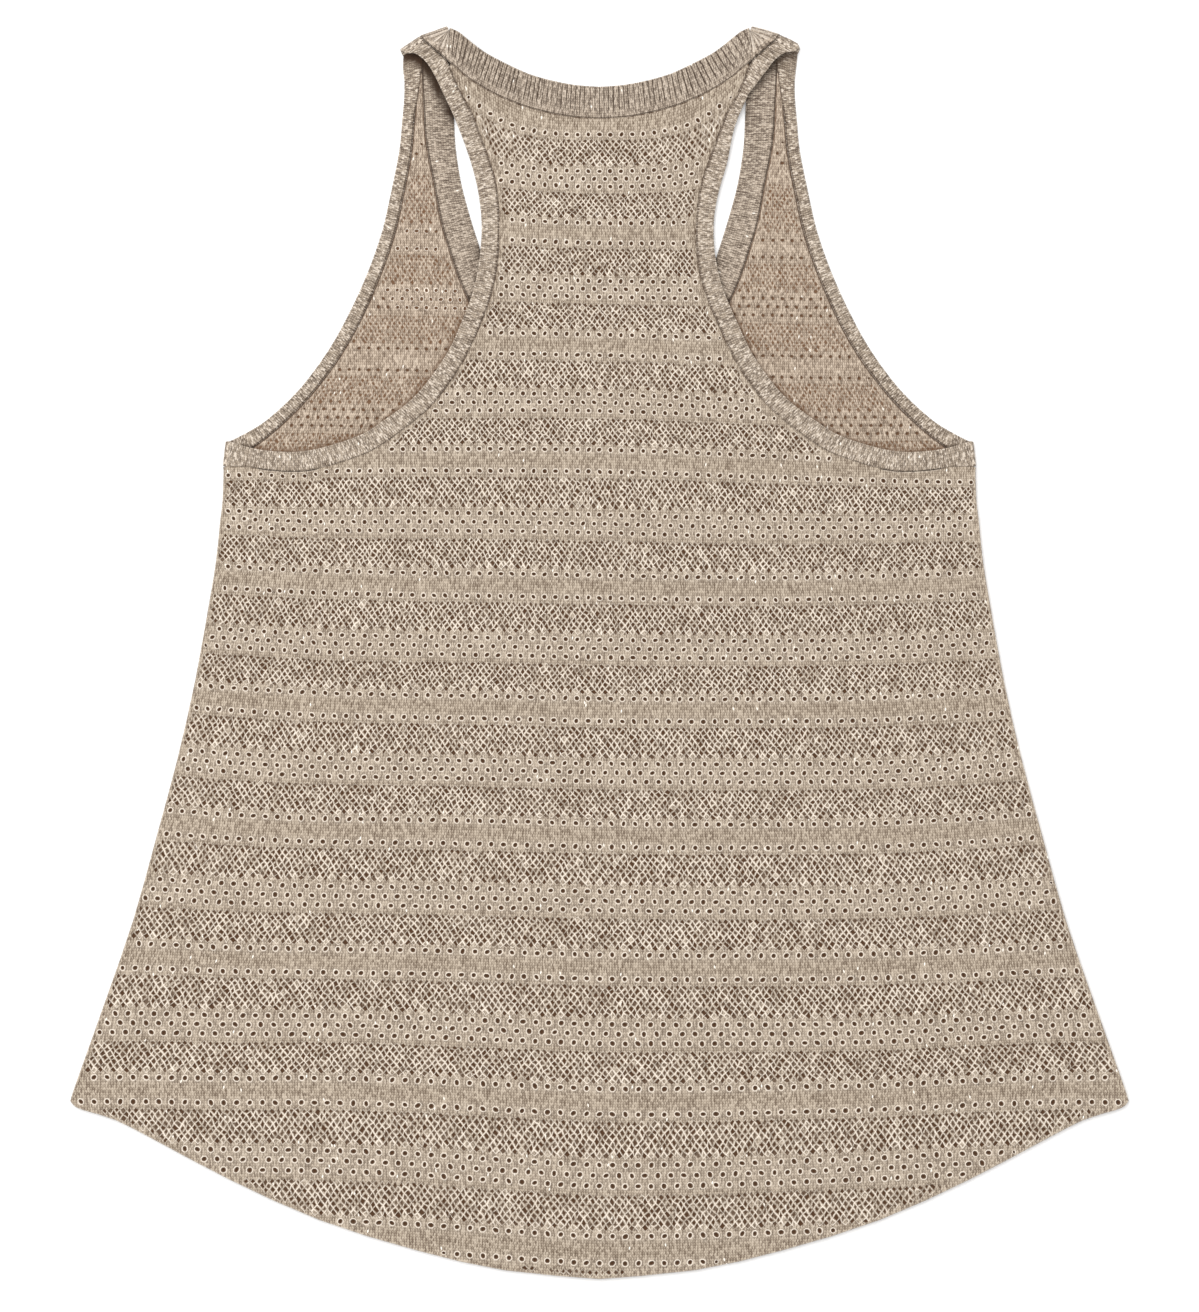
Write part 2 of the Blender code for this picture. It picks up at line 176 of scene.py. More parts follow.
yarn = {
    "legLean": 1.1,            # how far the two legs of a stitch rise to its sides
    "legShade": 0.85,          # how much the legs differ
    "loopShade": 0.60,         # how much lighter a loop's rounded middle is, as a painted highlight
    "cloud": dict(Scale=0.11, Detail=3.0, Roughness=0.6),   # slow patches, lighter and darker
    "cloudShade": 0.16,
    "darker": 0.2,
    "strokes": (0.74, 0.92),   # of all legs, those past here turn into strokes of painted highlight
    "standsUp": -1.6,          # a depth of 0 is plain cloth, and what lies above it is below 0 and takes the painted highlight
    # the painted shade starts and is full at these depths
    "liesDeep": (0.30, 1.15),
    "roughness": 0.86,
    "bumpHeight": 0.0004,
    "finish": {"Specular IOR Level": 0.25, "Sheen Weight": 0.15, "Sheen Roughness": 0.5},
}


def knitMaterial(look):
    material = bpy.data.materials.new(look["name"])
    material.use_nodes = True
    tree = material.node_tree
    shader = tree.nodes["Principled BSDF"]

    def calc(operation, *parts, **settings):
        return addNode(tree, "ShaderNodeMath", 0, dict(enumerate(parts)), operation=operation, **settings)

    place = addNode(tree, "ShaderNodeAttribute", "Vector", {}, attribute_name="knit")
    depth = addNode(tree, "ShaderNodeAttribute", "Fac", {}, attribute_name="depth")
    split = addNode(tree, "ShaderNodeSeparateXYZ", 0, {0: place}).node
    wale, course = (calc("DIVIDE", split.outputs[i], look["stitch"][i]) for i in (0, 1))
    inWale = calc("FRACT", wale)
    leg = calc("MULTIPLY_ADD", calc("ABSOLUTE", calc("SUBTRACT", inWale, 0.5)), yarn["legLean"], course)
    arcs = [calc("SINE", calc("MULTIPLY", part, math.pi)) for part in (calc("FRACT", leg), inWale)]
    stitch = calc("MULTIPLY", *arcs)
    # each leg of a stitch has its own shade of yarn
    numbers = [calc("FLOOR", part) for part in (calc("MULTIPLY", wale, 2.0), leg)]
    number = addNode(tree, "ShaderNodeCombineXYZ", 0, dict(enumerate(numbers)))
    chance = addNode(tree, "ShaderNodeTexWhiteNoise", "Value", {"Vector": number}, noise_dimensions="3D")
    cloud = addNode(tree, "ShaderNodeTexNoise", 0, {"Vector": place, **yarn["cloud"]})
    shade = -yarn["darker"]
    for part, share in ((chance, yarn["legShade"]), (stitch, yarn["loopShade"]), (cloud, yarn["cloudShade"])):
        shade = calc("MULTIPLY_ADD", part, share, shade)
    start, full = yarn["strokes"]
    stroke = addNode(tree, "ShaderNodeMapRange", 0, {"Value": chance, "From Min": start, "From Max": full,
                                                     "To Max": look["strokes"]})
    metalGlint = calc("GREATER_THAN", chance, 1 - glint["share"])
    paintedHighlight = calc("MULTIPLY", depth, yarn["standsUp"], use_clamp=True)
    start, full = yarn["liesDeep"]
    paintedShade = addNode(tree, "ShaderNodeMapRange", 0, {"Value": depth, "From Min": start, "From Max": full},
                   interpolation_type="SMOOTHSTEP")
    # painted highlight on yarn that stands up, and painted shade on what lies deep between it
    colour = hexColour(look["dark"])
    for share, code in ((shade, look["light"]), (stroke, look["highlight"]), (metalGlint, glint["colour"]),
                        (paintedHighlight, look["highlight"]), (paintedShade, look["hole"])):
        colour = addNode(tree, "ShaderNodeMix", 2, {0: share, 6: colour, 7: hexColour(code)}, data_type="RGBA")
    tree.links.new(colour, shader.inputs["Base Color"])
    gloss = addNode(tree, "ShaderNodeMix", 0, {0: metalGlint, 2: yarn["roughness"], 3: glint["roughness"]})
    tree.links.new(gloss, shader.inputs["Roughness"])
    bump = addNode(tree, "ShaderNodeBump", 0, {"Height": stitch, "Strength": look["bump"],
                                               "Distance": yarn["bumpHeight"]})
    tree.links.new(bump, shader.inputs["Normal"])
    for name, value in yarn["finish"].items():
        shader.inputs[name].default_value = value
    return material


materials = {key: knitMaterial(look) for key, look in knitLooks.items()}
print("materials made")

straps = {
    "lean": 2.2,                  # how far the right back strap was laid toward the middle
    "leanPlace": (222.0, 50.0),   # where, and how far along the strap that reaches
    "leanFull": 60.0,             # nearer to the middle than this the cloth leans less
    "leanLayer": (1.9, 0.4),      # what lies lower than this stays, and so much higher it leans in full
    # little light reaches the front beside the back strap and in the fold; pairs are left and right
    "shade": (1.25, 0.85),
    "shadeReach": 5.5,
    "shadeFrom": (276.0, 300.0),
    "shadeFull": (292.0, 313.0),
    "edgeShade": (0.85, 1.9),     # all along the back's edge: how dark, how wide
    "foldShade": (0.75, 0.30),
    "foldReach": 13.0,
    "foldSoft": 9.0,
    "shadedBelow": 1.95,          # height under which the front lies
    # the right shoulder is rounder: distance from the middle, and how far it stands out there
    "round": ((82.5, 0.0), (89.0, 0.7), (98.0, 1.0), (102.0, 1.9), (105.5, 2.4), (107.2, 1.3), (109.0, 0.2)),
    "roundWay": (0.65, 0.76),
}


def asLaid(points, depth):
    x, y, z = points.T
    middle, reach = straps["leanPlace"]
    lean = straps["lean"] * np.clip(1 - ((y - middle) / reach) ** 2, 0, 1) ** 2
    lean = lean * np.clip(x / straps["leanFull"], 0, 1)
    away = distanceTo(np.abs(x) + lean, y, [row[:2] for row in armholeBack])
    most, start, full, inFold = (np.where(x > 0, straps[key][1], straps[key][0])
                                 for key in ("shade", "shadeFrom", "shadeFull", "foldShade"))
    shade = np.exp(-(away / straps["shadeReach"]) ** 2) * np.clip((y - start) / (full - start), 0, 1) * most
    dark, width = straps["edgeShade"]
    shade = np.maximum(shade, dark * np.exp(-(away / width) ** 2))
    toFold = distanceTo(np.abs(x), y, foldLine)
    soft = straps["foldSoft"]
    shade = np.maximum(shade, inFold * np.clip((straps["foldReach"] - toFold) / soft, 0, 1))
    out = np.interp(x, *zip(*straps["round"])) * np.clip(1 - toFold / soft, 0, 1)
    level, more = straps["leanLayer"]
    lean = lean * np.clip((z - level) / more, 0, 1)
    points = points + np.column_stack([out * straps["roundWay"][0] - lean, out * straps["roundWay"][1], 0 * x])
    points[:, 2] = np.maximum(points[:, 2], 0)
    return points, np.where(z < straps["shadedBelow"], np.maximum(depth, shade), depth)


def addPiece(name, node, points, faces, knit, depth, material):
    # knit is each point's place in the cloth, and depth the shading painted on it: above 0 painted shade, below
    # 0 a painted highlight
    points, depth = asLaid(points, depth)
    mesh = bpy.data.meshes.new(name)
    mesh.from_pydata((points * mm).tolist(), [], faces)
    mesh.validate()
    flat = np.column_stack([knit, np.zeros(len(knit))]).astype(np.float32)
    mesh.attributes.new("knit", "FLOAT_VECTOR", "POINT").data.foreach_set("vector", flat.ravel())
    mesh.attributes.new("depth", "FLOAT", "POINT").data.foreach_set("value", depth.astype(np.float32))
    mesh.shade_smooth()
    mesh.materials.append(material)
    piece = bpy.data.objects.new(name, mesh)
    bpy.context.scene.collection.objects.link(piece)
    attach(piece, "root")
    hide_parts(node)
    mesh.calc_loop_triangles()
    print(name, len(mesh.loop_triangles), "triangles")
    return piece


# The openwork. In one repeat, from the middle of a plain band (0) to the middle of the next (1), eyelets have
# a place and a shift in quarter pitches, and a net has its first and last row of holes and how many there are.
oneRepeat = dict(eyelets=((0.089, 0), (0.429, 0), (0.500, 2), (0.571, 0), (0.908, 0)),
                 net=((0.151, 0.368, 8), (0.646, 0.854, 8)))
rowKnots = dict(spacing=50.0, count=5)   # where rowShape gives a row's rise and fall, from the middle
openwork = {
    "back_panel": dict(
        underside=backUnderside,
        seamDrop=0.45,   # its side seams and hem reach down to the front
        seamFall=0.55,   # how far its edge turns down under the strips
        seamShade=1.5,   # how dark it is there
        seamPatches=(0.35, 1.25),   # the linked row is lighter and darker by turns
        seamLight=(100.0, 150.0, 0.35),   # and lighter still round the underarm
        open=(0.33, 0.62),   # share of a net's cell that is open
        # painted shade on the floors of the holes, and a painted highlight (below 0) where the threads cross
        holeShade=(0.85, 1.2),
        threadShade=(-1.05, -0.30),
        threadDepth=0.70,
        ownBands={},   # repeats that differ from the others
        plainBands=(284.9, 226.5, 166.1, 103.7, 35.4, -31.1, -98.6, -169.8, -242.2, -322.7, -403),
        # level at the middle; how far the row climbs on both sides at 50, 100, 150, 200, 250 mm; how far it
        # is lower at the right and higher at the left there
        rowShape=((340, 12, 45, 60, 60, 60, 0, 0, 0, 0, 0),
                  (284.9, 7, 47, 60, 60, 60, 0, 0, 0, 0, 0),
                  (255.2, 3, 14, 20, 20, 20, 0.3, 0.5, 0.5, 0.5, 0.5),
                  (226.5, 1, 3, 3, 3, 3, 0.9, 1.5, 1.5, 1.5, 1.5),
                  (166.1, -0.3, -1, -1.5, -1.5, -1.5, 1.2, 2.2, 2.5, 2.5, 2.5),
                  (134.7, -0.7, -2.2, -3, -3, -3, 1.1, 2.1, 2.6, 2.8, 2.8),
                  (103.7, -0.5, -1.5, -2.7, -4.8, -6, 1, 2.1, 2.7, 1.8, 1.5),
                  (69.4, -0.3, -0.5, -0.5, 1, 2.5, 1.1, 1.6, 1.6, 1.9, 2),
                  (35.4, 0, 0.2, 1.3, 3.4, 6, 0.9, 1.3, 1.4, 1.7, 1.8),
                  (-31.1, 0.5, 1, 1.9, 4.6, 8, 0.7, 1.1, 1.3, 1.5, 1.5),
                  (-98.6, 0.3, 0.8, 1.4, 3.6, 7, 0.9, 1.3, 1.3, 1.1, 1.1),
                  (-169.8, 0.4, 1, 1.8, 2.9, 5, 0.9, 1.5, 1.4, 1, 0.8),
                  (-206, 0.8, 1.8, 2.7, 3.9, 5.4, 1, 1.8, 2.1, 1.2, 0.6),
                  (-242.2, 1, 2.7, 4, 5.1, 6.2, 1.1, 1.8, 1.9, 0.5, 0),
                  (-282.2, 1.4, 4, 6, 7.6, 8.5, 1.2, 2.2, 2.1, 1.2, 0.8),
                  (-317, 1.7, 4.4, 6.3, 7.8, 8.6, 1.2, 2.2, 2, 1.2, 0.8)),
        pitch=((41.9, 5.9), (-230.8, 7.0)),   # level, distance between eyelets
    ),
    "front_panel": dict(
        underside=frontUnderside,
        seamDrop=0.0,
        seamFall=1.0,
        seamShade=2.8,
        seamPatches=(0.8, 1.1),
        seamLight=(100.0, 150.0, 1.0),
        open=(0.22, 0.47),
        # painted shade on the floors of the holes, and a painted highlight (below 0) where the threads cross
        holeShade=(0.75, 1.15),
        threadShade=(-1.6, -0.8),
        threadDepth=0.32,
        ownBands={1: dict(net=((0.49, 0.87, 14),), eyelets=((0.132, 0), (0.224, 2), (0.306, 0), (0.945, 0)))},
        plainBands=(344, 287, 221.7, 156.2, 93, 25.7, -41.9, -109, -179.6, -252.5, -328, -404),
        rowShape=((300, 0, 0, 0, 0, 0, 1.3, 2.6, 3.5, 3.5, 3.5),
                  (221, 0, 0, 0, 0, 0, 1.2, 2.5, 3, 3, 3),
                  (156, 0, 0, 0, 0, 0, 1, 1.9, 2.5, 2.5, 2.5),
                  (35, 0, 0.2, 1.3, 3.4, 6, 0.9, 1.3, 1.4, 1.7, 1.8),
                  (-170, 0.4, 1, 1.8, 2.9, 5, 0.9, 1.5, 1.4, 1, 0.8),
                  (-317, 1.7, 4.4, 6.3, 7.8, 8.6, 1.2, 2.2, 2, 1.2, 0.8)),
        pitch=((150.0, 5.2), (41.9, 5.8), (-230.8, 7.0)),
    ),
}


def columnAt(table, level, column):
    rows = np.array(table)[::-1]
    return np.interp(level, rows[:, 0], rows[:, column])


def rowShift(work, x, level):   # how far a row has risen at x
    away = np.abs(x) / rowKnots["spacing"]
    count = rowKnots["count"]
    knot = np.clip(np.floor(away).astype(int), 0, count - 1)
    t = np.clip(away - knot, 0, 1)
    total = 0
    # the climb on both sides, then the fall to the right
    for first, mirror, sign in ((1, 1, 1), (1 + count, -1, -np.sign(x))):
        values = [np.zeros_like(away)] + [columnAt(work["rowShape"], level, first + i) for i in range(count)]
        values = np.stack([mirror * values[1]] + values + [values[count]])
        around = [np.take_along_axis(values, (knot + i)[None], 0)[0] for i in range(4)]
        total = total + sign * smoothBetween(*around, t)
    return total


def knitPlace(work, x, y):   # where a point lies in the cloth itself, along and across its rows
    level = y
    for _ in range(3):
        level = y - rowShift(work, x, level)
    return np.column_stack([x * columnAt(work["pitch"], 0.0, 1) / columnAt(work["pitch"], level, 1), level])


def climbAt(work, spots):   # how much the row through each spot climbs in one millimetre
    level = knitPlace(work, spots[:, 0], spots[:, 1])[:, 1]
    return np.abs(rowShift(work, spots[:, 0] + 0.5, level) - rowShift(work, spots[:, 0] - 0.5, level))


def clothLevel(work, spots):   # height of the plain cloth
    return work["underside"](spots[:, 0], spots[:, 1]) + laid["panelThickness"] - laid["clothDrop"]


pointsAtOnce = 1500   # measured against an outline together, to spare memory


def frameOutline(name):   # a panel's upper edge from its solid, counter-clockwise
    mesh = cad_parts[name].data
    edges = set()
    for face in mesh.polygons:
        if face.normal.z > 0.5:
            corners = [tuple(round(c / mm, 2) for c in mesh.vertices[i].co[:2]) for i in face.vertices]
            edges.update(zip(corners, corners[1:] + corners[:1]))
    following = {a: b for a, b in edges if (b, a) not in edges}
    loop = [max(following)]
    while following[loop[-1]] != loop[0]:
        loop.append(following[loop[-1]])
    return np.array(loop)


def clearance(points, loop):   # how far inside the loop each point lies; below 0 outside
    a, b = loop, np.roll(loop, -1, axis=0)
    run = b - a
    found = []
    for part in np.array_split(points, len(points) // pointsAtOnce + 1):
        x, y = part[:, :1], part[:, 1:]
        with np.errstate(divide="ignore", invalid="ignore"):
            meets = ((a[:, 1] > y) != (b[:, 1] > y)) & (x < a[:, 0] + (y - a[:, 1]) * run[:, 0] / run[:, 1])
        along = ((x - a[:, 0]) * run[:, 0] + (y - a[:, 1]) * run[:, 1]) / (run ** 2).sum(1)
        along = np.clip(along, 0, 1)
        away = np.hypot(x - a[:, 0] - along * run[:, 0], y - a[:, 1] - along * run[:, 1]).min(1)
        found.append(np.where(meets.sum(1) % 2, away, -away))
    return np.concatenate(found)


def resampled(loop, step):
    result = []
    for a, b in zip(loop, np.roll(loop, -1, axis=0)):
        count = max(1, round(float(np.hypot(*(b - a))) / step))
        result += [a + (b - a) * i / count for i in range(count)]
    return np.array(result)


def inwardNormals(loop):
    run = np.roll(loop, -1, axis=0) - np.roll(loop, 1, axis=0)
    run /= np.linalg.norm(run, axis=1)[:, None]
    return np.column_stack([-run[:, 1], run[:, 0]])


holes = {   # radii are shares of the distance between eyelets
    "sides": 8,
    "footRadius": 0.298,   # foot of the raised ring round an eyelet
    # the foot takes a faint painted highlight
    "footDepth": -0.04,
    # two crests of that ring and its lip: radius, height, depth of shade, where below 0 is a painted highlight;
    # and the
    "rings": ((0.256, 0.16, -0.60), (0.222, 0.24, -0.75), (0.176, -0.45, 0.85)),
    "floor": (-1.05, 1.3),
    "spread": 0.10,        # how much their sizes differ
    "shift": (0.16, 0.12),   # how unevenly they are set
    "longer": 0.22,        # how oval they may be
    "least": 0.5,          # those close to an edge are smaller, down to this
}
net = {
    "warp": 0.60,           # how far the mesh is pulled about
    # the pull comes from waves within waves: their lengths, and second the bend of the first
    "swirl": ((1.9, 2.2, 4.3, 3.1, 5.7), (2.3, 1.9, 3.7, 2.7, -6.1)),
    "jitter": 0.36,
    "endPull": 0.25,        # how much of both the first and last threads get
    "endRow": 0.80,         # how far these threads lie past the holes, in rows
    "pastHem": 40.0,        # bands further below the cloth than this are left out
    "drawIn": 0.85,         # crossings this far past the edge's linked row are drawn in to it
    "unequal": 0.09,        # how much the corners of a hole differ
    "drawnShut": 1.1,       # how much less it opens where the rows climb
    "dullOnSlope": 1.5,     # how much less painted highlight its threads get there
    "slit": (0.0, 0.40),    # how far the holes are drawn out along one diagonal
    "slitWays": (-0.25, 0.75),   # one in four is drawn along the other
    "slitNarrow": 0.6,
    "closed": 0.025,        # share of the cells that are drawn shut
    "closedOnSlope": 0.45,  # and how many more where the rows climb by more than the next
    "slopeFrom": 0.15,
    "closedSink": 0.35,
    "closedShade": 0.45,
    "lastRow": (0.68, 0.30),   # open share of the big and the small holes of a band's last row
    "threadSink": 0.15,
    "clear": 3.1,           # distance to an eyelet that the underarm seam has moved
}
plain = dict(rows=(-2.6, 0.0, 2.6), step=4.2, reach=300.0, clear=2.2)   # points that carry the plain bands
# The seam under the arm moves a row of eyelets down
underarm = dict(x=(120.0, 196.0), y=(84.0, 104.0), reach=4.5, gap=0.3, foot=0.7)
# Across a panel's edge, from inside: distance from the edge, height on a free edge, height on a sewn edge
rim = ((0.85, 0.0, 0.0), (0.60, 0.10, -0.05), (0.28, 0.06, -0.30), (0.0, -0.60, -0.80), (0.05, -2.25, -1.15))
edges = {
    "step": 1.6,
    "freeBelow": 99.0,   # edges lower than this are the side seams and the hem
    "ledge": 0.35,       # how far a sewn edge reaches in under the strip
    "shine": 0.10,       # how much lighter the linked row along the hem and sides is
    "room": 0.15,        # between the linked row and the nearest hole
    "narrowing": (5, 0.7, 0.55),   # at pointed ends: tries, room that is too little, and the share kept
    "flatter": 0.3,      # how much of its height the linked row keeps there
    "darkest": 0.9,
    "probe": 0.2,        # how far apart the way inward is measured
    "inside": 0.02,
    "weld": 1e-4,
}


def swirl(u, v, lengths):
    first, bend, second, third, fourth = lengths
    return np.sin(v / first + bend * np.sin(u / second)) * np.sin(u / third + v / fourth)


def netLattice(work, first, last, count, outline, rng):
    # holes lie where column + row is odd, and threads cross where it is even
    spacing = (last - first) / (count - 1)
    levels = first + np.arange(-1, count + 1) * spacing
    levels[0] = first - net["endRow"] * spacing
    levels[-1] = last + net["endRow"] * spacing
    quarter = columnAt(work["pitch"], levels, 1) / 4
    reach = int(np.abs(outline[:, 0]).max() / quarter.min()) + 2
    x = quarter[:, None] * np.arange(-reach, reach + 1)[None, :]
    level = np.broadcast_to(levels[:, None], x.shape)
    y = level + rowShift(work, x, level)
    inner = np.ones_like(x)
    inner[0] = inner[-1] = net["endPull"]
    x = x + net["warp"] * inner * swirl(x, y, net["swirl"][0])
    y = y + net["warp"] * inner * swirl(y, x, net["swirl"][1])
    x = x + rng.uniform(-1, 1, x.shape) * net["jitter"] * inner
    y = y + rng.uniform(-1, 1, x.shape) * net["jitter"] * inner
    # crossings just past the edge's linked row are drawn in, so the net runs up to it
    spots = np.column_stack([x.ravel(), y.ravel()])
    room = clearance(spots, outline)
    limit = rim[0][0] + edges["room"]
    usable = room > limit - net["drawIn"]
    near = usable & (room < limit)
    slope = np.column_stack([clearance(spots[near] + step, outline) - clearance(spots[near] - step, outline)
                             for step in np.eye(2) * edges["probe"]])
    slope /= np.linalg.norm(slope, axis=1)[:, None] + 1e-9
    spots[near] += slope * (limit - room[near] + edges["inside"])[:, None]
    return spots[:, 0].reshape(x.shape), spots[:, 1].reshape(x.shape), usable.reshape(x.shape), reach


def buildNet(work, outline, rng):
    # crossings, cells as four crossings each, and for a band's last row whether a cell is a big one
    crossings, cells, lastRow = [], [], []
    bands = work["plainBands"]
    for index, (top, bottom) in enumerate(zip(bands, bands[1:])):
        for start, end, netRows in work["ownBands"].get(index, oneRepeat)["net"]:
            first, last = top + start * (bottom - top), top + end * (bottom - top)
            if first < outline[:, 1].min() - net["pastHem"]:
                continue
            x, y, usable, reach = netLattice(work, first, last, netRows, outline, rng)
            number = {}
            for row in range(1, netRows + 1):
                for column in range(1, 2 * reach):
                    around = ((row, column + 1), (row - 1, column), (row, column - 1), (row + 1, column))
                    if (column - reach + row) % 2 or not all(usable[place] for place in around):
                        continue
                    for place in around:
                        if place not in number:
                            number[place] = len(crossings)
                            crossings.append((x[place], y[place]))
                    cells.append([number[place] for place in around])
                    lastRow.append((column - reach) % 4 == 2 if row == netRows else None)
    return np.array(crossings), np.array(cells), lastRow


def eyeletRoom(found, outline):   # from each eyelet to the edge's linked row
    return clearance(found[:, :2], outline) - rim[0][0] - edges["room"]


def placeEyelets(work, outline, rng):   # x, y and pitch of each, and the places of those moved by a seam
    found = []
    bands = work["plainBands"]
    for index, (top, bottom) in enumerate(zip(bands, bands[1:])):
        for place, quarters in work["ownBands"].get(index, oneRepeat)["eyelets"]:
            level = top + place * (bottom - top)
            pitch = float(columnAt(work["pitch"], level, 1))
            reach = int(np.abs(outline[:, 0]).max() / pitch) + 2
            x = (np.arange(-reach, reach + 1) + quarters / 4) * pitch
            y = level + rowShift(work, x, np.full_like(x, level))
            x = x + rng.uniform(-1, 1, x.shape) * holes["shift"][0]
            y = y + rng.uniform(-1, 1, x.shape) * holes["shift"][1]
            found.append(np.column_stack([x, y, np.full_like(x, pitch)]))
    found = np.vstack(found)
    away, level = np.abs(found[:, 0]), found[:, 1]
    near = (away > underarm["x"][0]) & (away < underarm["x"][1])
    near &= (level > underarm["y"][0]) & (level < underarm["y"][1])
    room = eyeletRoom(found, outline) - underarm["gap"]
    short = holes["footRadius"] * underarm["foot"] * found[:, 2] - room
    drawn = near & (short > 0) & (short < underarm["reach"])
    found[drawn, 1] -= short[drawn]
    fit = np.clip(eyeletRoom(found, outline) / (holes["footRadius"] * found[:, 2]), 0, 1)
    found[:, 2] *= fit
    fits = fit > holes["least"]
    return found[fits], found[fits & drawn, :2]


def plainPoints(work, outline):
    found = []
    for level in work["plainBands"]:
        for offset in plain["rows"]:
            x = np.arange(-plain["reach"], plain["reach"], plain["step"]) + (offset != 0.0) * plain["step"] / 2
            y = level + offset + rowShift(work, x, np.full_like(x, level + offset))
            found.append(np.column_stack([x, y]))
    found = np.vstack(found)
    return found[clearance(found, outline) > plain["clear"]]


def edgeRings(outline):   # the edge, rings inside it, where it is free, and how much of its width it keeps
    edge = resampled(outline, edges["step"])
    normals = inwardNormals(edge)
    free = (edge[:, 1] < edges["freeBelow"]).astype(float)
    width = rim[0][0]
    tries, tooLittle, share = edges["narrowing"]
    inset = np.ones(len(edge))
    for _ in range(tries):
        tight = clearance(edge + normals * (width * inset)[:, None], outline) < tooLittle * width * inset
        inset = np.where(tight, inset * share, inset)
    rings = [edge + normals * (distance * inset)[:, None] for distance, _, _ in rim]
    rings[-1] = rings[-1] - normals * ((1 - free) * edges["ledge"])[:, None]
    return edge, rings, free, inset


def eyeletRings(eyelets, rng):   # the round foot of each, and oval rings with their height and shade
    sides = holes["sides"]
    angles = 2 * math.pi * (np.arange(sides) + 0.5) / sides
    turn = rng.uniform(0, math.pi, len(eyelets))[:, None]
    longer = 1 + rng.uniform(0, holes["longer"], len(eyelets))[:, None]
    size = eyelets[:, 2:] * (1 + rng.uniform(-1, 1, (len(eyelets), 1)) * holes["spread"])
    ovalX = np.cos(angles - turn) * longer
    ovalY = np.sin(angles - turn) / longer
    circle = np.dstack([np.cos(angles) + 0 * turn, np.sin(angles) + 0 * turn])
    oval = np.dstack([ovalX * np.cos(turn) - ovalY * np.sin(turn), ovalX * np.sin(turn) + ovalY * np.cos(turn)])
    middle = eyelets[:, None, :2]
    foot = middle + circle * eyelets[:, 2:, None] * holes["footRadius"]
    rings = [(middle + oval * size[:, :, None] * radius, height, shade)
             for radius, height, shade in holes["rings"]]
    return foot, rings + [(middle, *holes["floor"])]


def plainCloth(ring, crossings, cells, foot, points):   # fills in between the edge, the nets and the eyelets
    flat = np.vstack([ring, crossings, foot.reshape(-1, 2), points])
    sides = holes["sides"]
    firstFoot = len(ring) + len(crossings)
    loops = [list(range(len(ring)))] + [[len(ring) + i for i in cell] for cell in cells]
    loops += [list(range(firstFoot + sides * i, firstFoot + sides * (i + 1))) for i in range(len(foot))]
    corners = [Vector(p) for p in flat.tolist()]
    spots, _, triangles, origins, _, inside = delaunay_2d_cdt(corners, [], loops, 1, edges["weld"])
    place = {j: i for i, before in enumerate(origins) for j in before}
    faces = [list(t) for t, within in zip(triangles, inside) if list(within) == [0]]
    feet = [place[firstFoot + i] for i in range(len(foot) * sides)]
    return np.array([tuple(p) for p in spots]), faces, [place[i] for i in range(len(ring))], feet


def addPanel(name, kind, points, faces, depth):
    work, look = openwork[name], name.split("_")[0]
    points = np.vstack(points)
    points[:, 2] += waves(points[:, 0], points[:, 1])
    knit = knitPlace(work, points[:, 0], points[:, 1])
    return addPiece(f"{look}_{kind}", name, points, faces, knit, np.concatenate(depth), materials[look])


def addKnit(name, outline, crossings, cells, eyelets, rng):
    work = openwork[name]
    edge, rings, free, inset = edgeRings(outline)
    foot, ovals = eyeletRings(eyelets, rng)
    spots, faces, before, feet = plainCloth(rings[0], crossings, cells, foot, plainPoints(work, outline))
    points = [np.column_stack([spots, clothLevel(work, spots)])]
    depth = [np.zeros(len(spots))]
    depth[0][feet] = holes["footDepth"]
    count = len(spots)
    # the edge: a linked roll where it is free, a soft turn down where it is sewn to a strip
    start, end, least = work["seamLight"]
    patches = rng.uniform(*work["seamPatches"], len(edge)) * np.interp(edge[:, 1], (start, end), (least, 1.0))
    for ring, (_, freeHeight, sewnHeight) in zip(rings[1:], rim[1:]):
        height = free * freeHeight + (1 - free) * (sewnHeight * work["seamFall"])
        height = clothLevel(work, ring) + height * np.minimum(1, inset + edges["flatter"])
        lowest = work["underside"](ring[:, 0], ring[:, 1]) - free * work["seamDrop"]
        points.append(np.column_stack([ring, np.maximum(height, lowest)]))
        # painted shade where a sewn edge turns down under a strip, and a painted shine on the raised linked row
        # of a free edge
        sewnShade = min(edges["darkest"], -sewnHeight * work["seamShade"]) * patches
        depth.append((1 - free) * sewnShade - free * edges["shine"] * (freeHeight > 0))
        after = list(range(count, count + len(ring)))
        count += len(ring)
        faces += [(before[i - 1], after[i - 1], after[i], before[i]) for i in range(len(ring))]
        before = after
    # the eyelets, each from its foot over the ring and down to its floor
    # each ring carries its painted highlight or shade, and the floor that shuts the hole its painted shade
    for ring, height, shade in ovals:
        spot = ring.reshape(-1, 2)
        points.append(np.column_stack([spot, clothLevel(work, spot) + height]))
        depth.append(np.full(len(spot), shade))
    sides, rounds = holes["sides"], len(holes["rings"])
    for e in range(len(eyelets)):
        for k in range(sides):
            corners = (sides * e + k, sides * e + (k + 1) % sides)
            outer = [feet[corner] for corner in corners]
            for ring in range(rounds):
                inner = [count + len(feet) * ring + corner for corner in corners]
                faces.append((*outer, *reversed(inner)))
                outer = inner
            faces.append((*outer, count + len(feet) * rounds + e))
    return addPanel(name, "knit", points, faces, depth)


